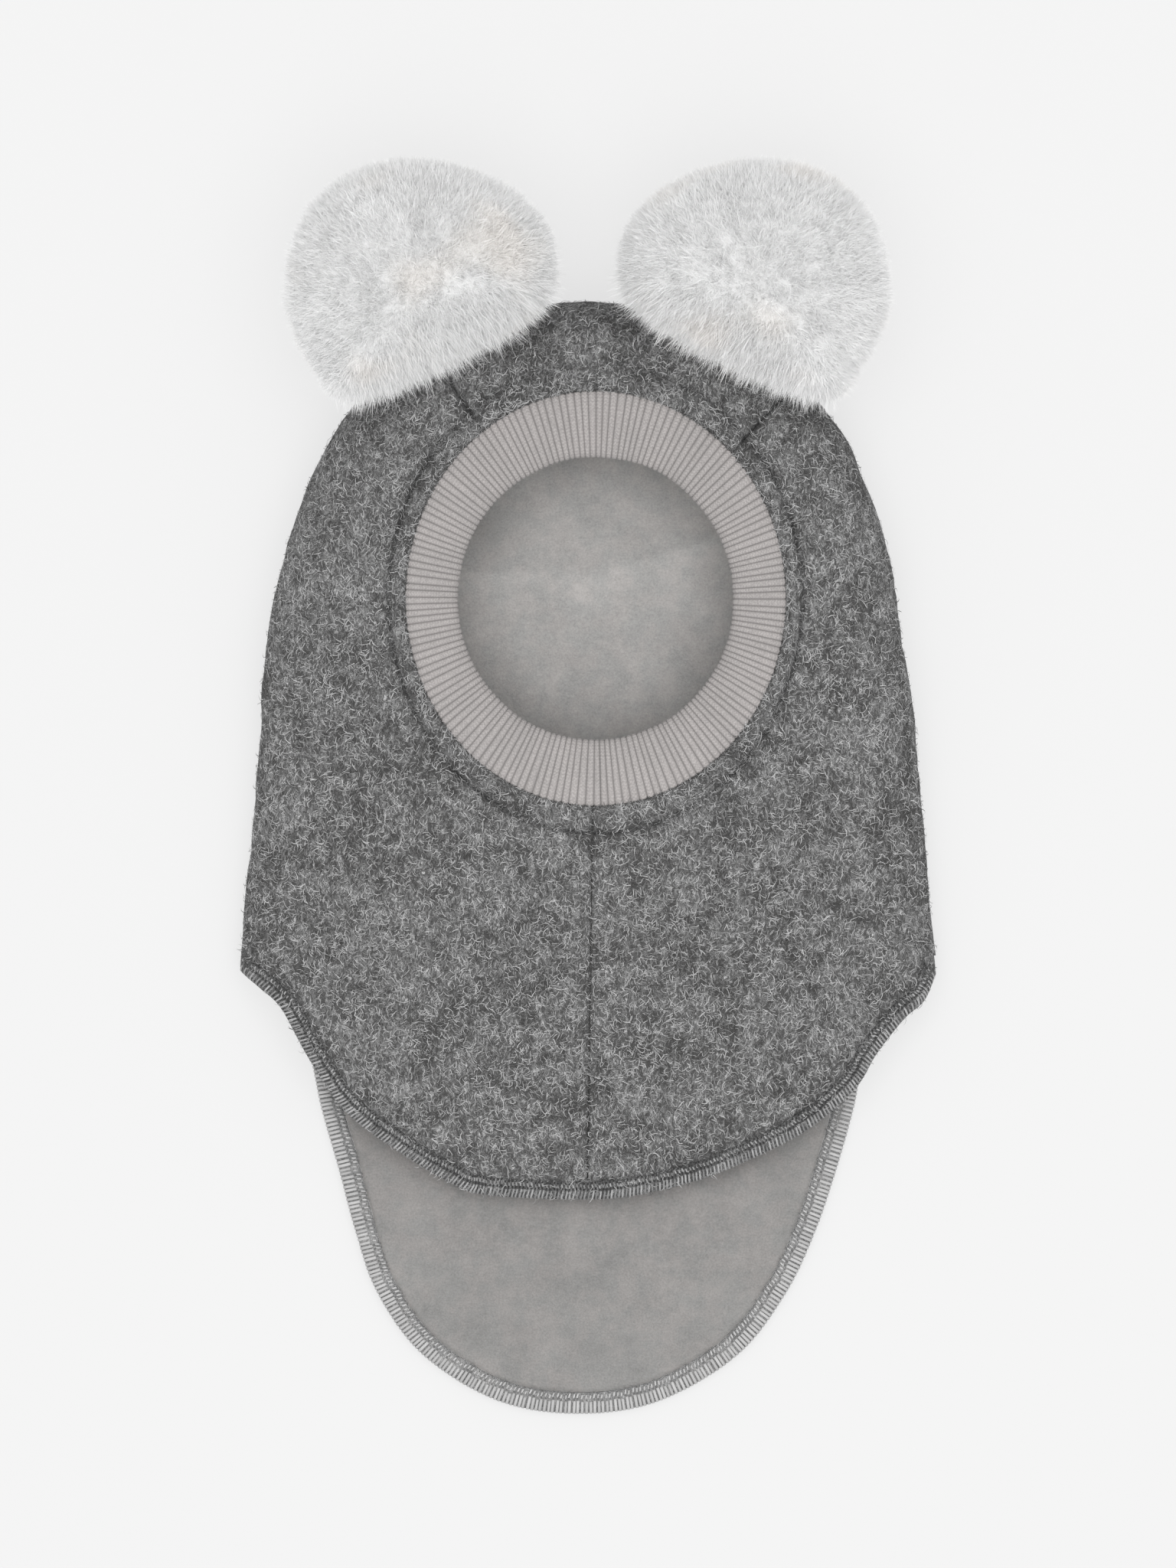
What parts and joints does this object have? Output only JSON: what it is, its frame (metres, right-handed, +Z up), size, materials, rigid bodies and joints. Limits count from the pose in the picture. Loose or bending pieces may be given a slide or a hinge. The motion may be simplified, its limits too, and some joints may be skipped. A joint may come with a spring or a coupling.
{
  "type": "baby balaclava hat with pompom ears",
  "caption": "Baby's boiled-wool balaclava with a round ribbed face opening, a bib and neck flap with overlocked hems, a velour lining and pompom ears, lying on its back.",
  "frame": {"origin": "middle of the bounding box's underside, on the surface that the hat lies on", "axes": "+Z up out of the face opening, +Y from the neck flap to the crown, +X to the right seen from above the face"},
  "size_m": [0.2367, 0.4256, 0.09],
  "materials": {
    "boiled_wool": "heathered mid-grey boiled wool with a fuzzy, curly face",
    "lining_velour": "soft warm-grey velour with a faint fine grid",
    "rib_knit": "warm light-grey ribbed knit",
    "hem_thread": "dense grey overlock thread over the cut edge",
    "pompom_yarn": "off-white cut yarn, soft and tufted"
  },
  "bodies": {
    "root": {"front_panel_left": "boiled_wool", "front_panel_right": "boiled_wool", "crown_back_panel": "boiled_wool", "lining": "lining_velour", "hem_overlock": "hem_thread", "rib_band": "rib_knit", "pompom_left": "pompom_yarn", "pompom_right": "pompom_yarn"}
  },
  "joints": []
}
